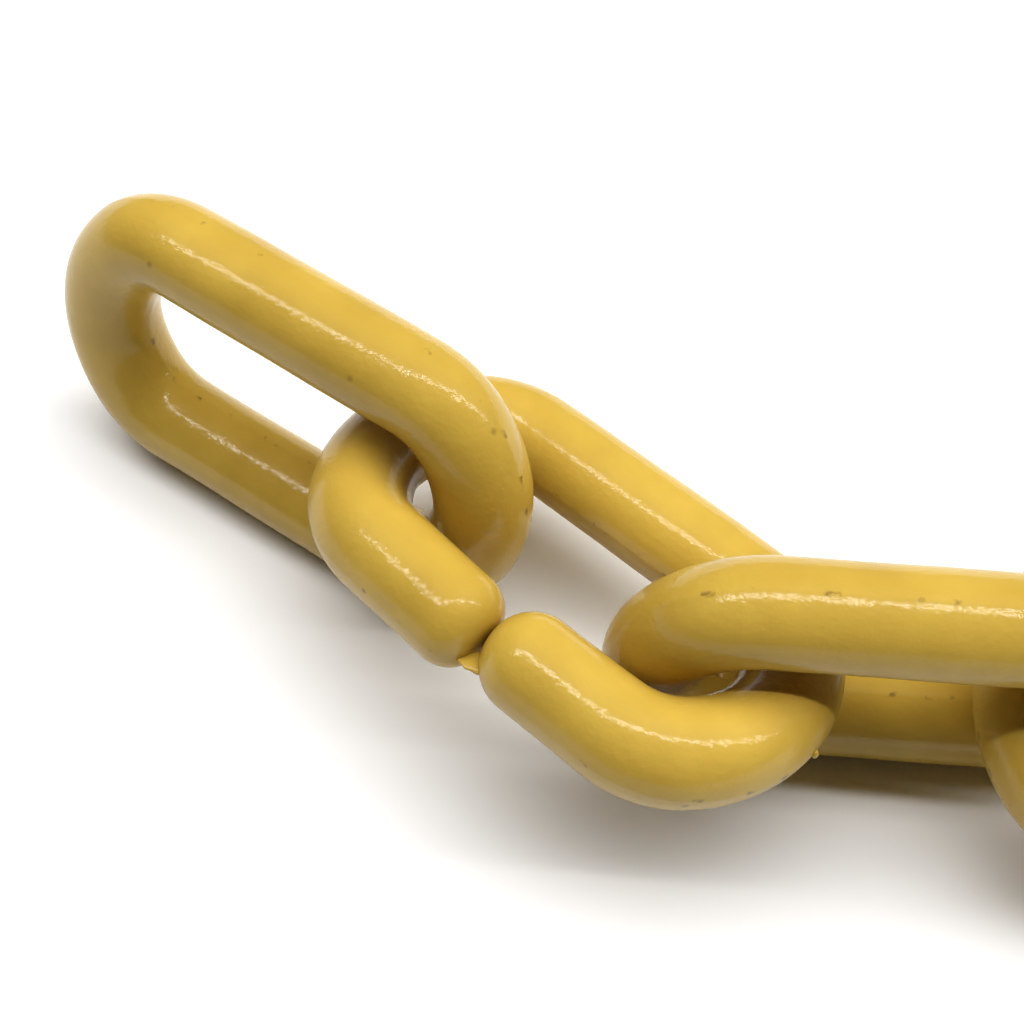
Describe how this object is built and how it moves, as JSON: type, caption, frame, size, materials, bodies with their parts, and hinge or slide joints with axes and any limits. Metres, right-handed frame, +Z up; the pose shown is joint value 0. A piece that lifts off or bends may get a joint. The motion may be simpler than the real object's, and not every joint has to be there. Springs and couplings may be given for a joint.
{
  "type": "plastic barrier chain",
  "caption": "Length of round-wire plastic barrier chain: closed links standing on edge and split links lying between them, each free to swing in its neighbours' eyes.",
  "frame": {"origin": "on the ground, under the middle of the chain's bounding box", "axes": "+X along the chain from its free end, +Z up from the ground, +Y across"},
  "size_m": [0.7192, 0.1, 0.0272],
  "materials": {
    "yellow_plastic": "moulded, lightly glossy, warm yellow"
  },
  "bodies": {
    "closed_link_01": {"closed_link_01": "yellow_plastic"},
    "split_link_02": {"split_link_02": "yellow_plastic"},
    "closed_link_03": {"closed_link_03": "yellow_plastic"},
    "split_link_04": {"split_link_04": "yellow_plastic"},
    "closed_link_05": {"closed_link_05": "yellow_plastic"},
    "split_link_06": {"split_link_06": "yellow_plastic"},
    "closed_link_07": {"closed_link_07": "yellow_plastic"},
    "split_link_08": {"split_link_08": "yellow_plastic"},
    "closed_link_09": {"closed_link_09": "yellow_plastic"},
    "split_link_10": {"split_link_10": "yellow_plastic"},
    "closed_link_11": {"closed_link_11": "yellow_plastic"},
    "split_link_12": {"split_link_12": "yellow_plastic"},
    "closed_link_13": {"closed_link_13": "yellow_plastic"},
    "split_link_14": {"split_link_14": "yellow_plastic"},
    "closed_link_15": {"closed_link_15": "yellow_plastic"},
    "split_link_16": {"split_link_16": "yellow_plastic"},
    "closed_link_17": {"closed_link_17": "yellow_plastic"},
    "split_link_18": {"split_link_18": "yellow_plastic"},
    "closed_link_19": {"closed_link_19": "yellow_plastic"},
    "split_link_20": {"split_link_20": "yellow_plastic"},
    "closed_link_21": {"closed_link_21": "yellow_plastic"},
    "split_link_22": {"split_link_22": "yellow_plastic"},
    "closed_link_23": {"closed_link_23": "yellow_plastic"},
    "split_link_24": {"split_link_24": "yellow_plastic"},
    "closed_link_25": {"closed_link_25": "yellow_plastic"}
  },
  "joints": [
    {"name": "split_link_02_on_closed_link_01", "type": "hinge", "parent": "closed_link_01", "child": "split_link_02", "pos_m": [-0.32229, 0.00842, 0.01325], "axis": [-0.121, -0.2498, -0.9607], "range_deg": [-110, 110]},
    {"name": "closed_link_03_on_split_link_02", "type": "hinge", "parent": "split_link_02", "child": "closed_link_03", "pos_m": [-0.29739, -0.00173, 0.01275], "axis": [0.0191, -0.9962, -0.0854], "range_deg": [-90, 10]},
    {"name": "split_link_04_on_closed_link_03", "type": "hinge", "parent": "closed_link_03", "child": "split_link_04", "pos_m": [-0.27014, -0.0012, 0.01259], "axis": [-0.0193, -0.1641, 0.9862], "range_deg": [-110, 110]},
    {"name": "closed_link_05_on_split_link_04", "type": "hinge", "parent": "split_link_04", "child": "closed_link_05", "pos_m": [-0.24161, -0.00522, 0.01247], "axis": [-0.0015, 0.9949, 0.1012], "range_deg": [-110, 110]},
    {"name": "split_link_06_on_closed_link_05", "type": "hinge", "parent": "closed_link_05", "child": "split_link_06", "pos_m": [-0.21264, -0.0052, 0.0127], "axis": [0.0002, -0.0382, -0.9993], "range_deg": [-110, 110]},
    {"name": "closed_link_07_on_split_link_06", "type": "hinge", "parent": "split_link_06", "child": "closed_link_07", "pos_m": [-0.18342, -0.00361, 0.01264], "axis": [0.1493, -0.9841, 0.0961], "range_deg": [-110, 110]},
    {"name": "split_link_08_on_closed_link_07", "type": "hinge", "parent": "closed_link_07", "child": "split_link_08", "pos_m": [-0.15478, 0.00074, 0.0127], "axis": [-0.0044, 0.0161, 0.9999], "range_deg": [-110, 110]},
    {"name": "closed_link_09_on_split_link_08", "type": "hinge", "parent": "split_link_08", "child": "closed_link_09", "pos_m": [-0.12632, 0.0078, 0.01271], "axis": [-0.1941, 0.9797, 0.0509], "range_deg": [-110, 110]},
    {"name": "split_link_10_on_closed_link_09", "type": "hinge", "parent": "closed_link_09", "child": "split_link_10", "pos_m": [-0.09791, 0.01343, 0.0127], "axis": [-0.0107, 0.0406, -0.9991], "range_deg": [-110, 110]},
    {"name": "closed_link_11_on_split_link_10", "type": "hinge", "parent": "split_link_10", "child": "closed_link_11", "pos_m": [-0.06959, 0.02108, 0.01271], "axis": [0.2746, -0.9614, -0.0157], "range_deg": [-110, 110]},
    {"name": "split_link_12_on_closed_link_11", "type": "hinge", "parent": "closed_link_11", "child": "split_link_12", "pos_m": [-0.04174, 0.02903, 0.0127], "axis": [0.0009, -0.0072, 1], "range_deg": [-110, 110]},
    {"name": "closed_link_13_on_split_link_12", "type": "hinge", "parent": "split_link_12", "child": "closed_link_13", "pos_m": [-0.01258, 0.03221, 0.0127], "axis": [-0.0998, 0.9921, -0.0757], "range_deg": [-110, 110]},
    {"name": "split_link_14_on_closed_link_13", "type": "hinge", "parent": "closed_link_13", "child": "split_link_14", "pos_m": [0.01624, 0.03511, 0.0127], "axis": [0.0024, -0.0435, -0.9991], "range_deg": [-110, 110]},
    {"name": "closed_link_15_on_split_link_14", "type": "hinge", "parent": "split_link_14", "child": "closed_link_15", "pos_m": [0.04543, 0.03464, 0.0128], "axis": [-0.1443, -0.9841, -0.104], "range_deg": [-110, 110]},
    {"name": "split_link_16_on_closed_link_15", "type": "hinge", "parent": "closed_link_15", "child": "split_link_16", "pos_m": [0.0741, 0.03045, 0.0127], "axis": [-0.0004, -0.0025, 1], "range_deg": [-110, 110]},
    {"name": "closed_link_17_on_split_link_16", "type": "hinge", "parent": "split_link_16", "child": "closed_link_17", "pos_m": [0.10286, 0.02473, 0.0127], "axis": [0.2096, 0.9737, -0.0889], "range_deg": [-110, 110]},
    {"name": "split_link_18_on_closed_link_17", "type": "hinge", "parent": "closed_link_17", "child": "split_link_18", "pos_m": [0.13118, 0.01863, 0.0127], "axis": [0.0158, 0.04, -0.9991], "range_deg": [-110, 110]},
    {"name": "closed_link_19_on_split_link_18", "type": "hinge", "parent": "split_link_18", "child": "closed_link_19", "pos_m": [0.1586, 0.00826, 0.01272], "axis": [-0.3408, -0.9394, -0.0366], "range_deg": [-110, 110]},
    {"name": "split_link_20_on_closed_link_19", "type": "hinge", "parent": "closed_link_19", "child": "split_link_20", "pos_m": [0.18583, -0.00162, 0.0127], "axis": [0.0037, 0.0116, 0.9999], "range_deg": [-110, 110]},
    {"name": "closed_link_21_on_split_link_20", "type": "hinge", "parent": "split_link_20", "child": "closed_link_21", "pos_m": [0.21348, -0.01136, 0.01271], "axis": [0.3773, 0.9256, 0.031], "range_deg": [-110, 110]},
    {"name": "split_link_22_on_closed_link_21", "type": "hinge", "parent": "closed_link_21", "child": "split_link_22", "pos_m": [0.2403, -0.02229, 0.0127], "axis": [-0.0107, -0.0388, -0.9992], "range_deg": [-110, 110]},
    {"name": "closed_link_23_on_split_link_22", "type": "hinge", "parent": "split_link_22", "child": "closed_link_23", "pos_m": [0.26881, -0.02904, 0.01265], "axis": [-0.1646, -0.9847, 0.0571], "range_deg": [-110, 110]},
    {"name": "split_link_24_on_closed_link_23", "type": "hinge", "parent": "closed_link_23", "child": "split_link_24", "pos_m": [0.29738, -0.03382, 0.0127], "axis": [-0.0026, -0.021, 0.9998], "range_deg": [-110, 110]},
    {"name": "closed_link_25_on_split_link_24", "type": "hinge", "parent": "split_link_24", "child": "closed_link_25", "pos_m": [0.32659, -0.03597, 0.01273], "axis": [0, 1, 0], "range_deg": [-110, 110]}
  ]
}
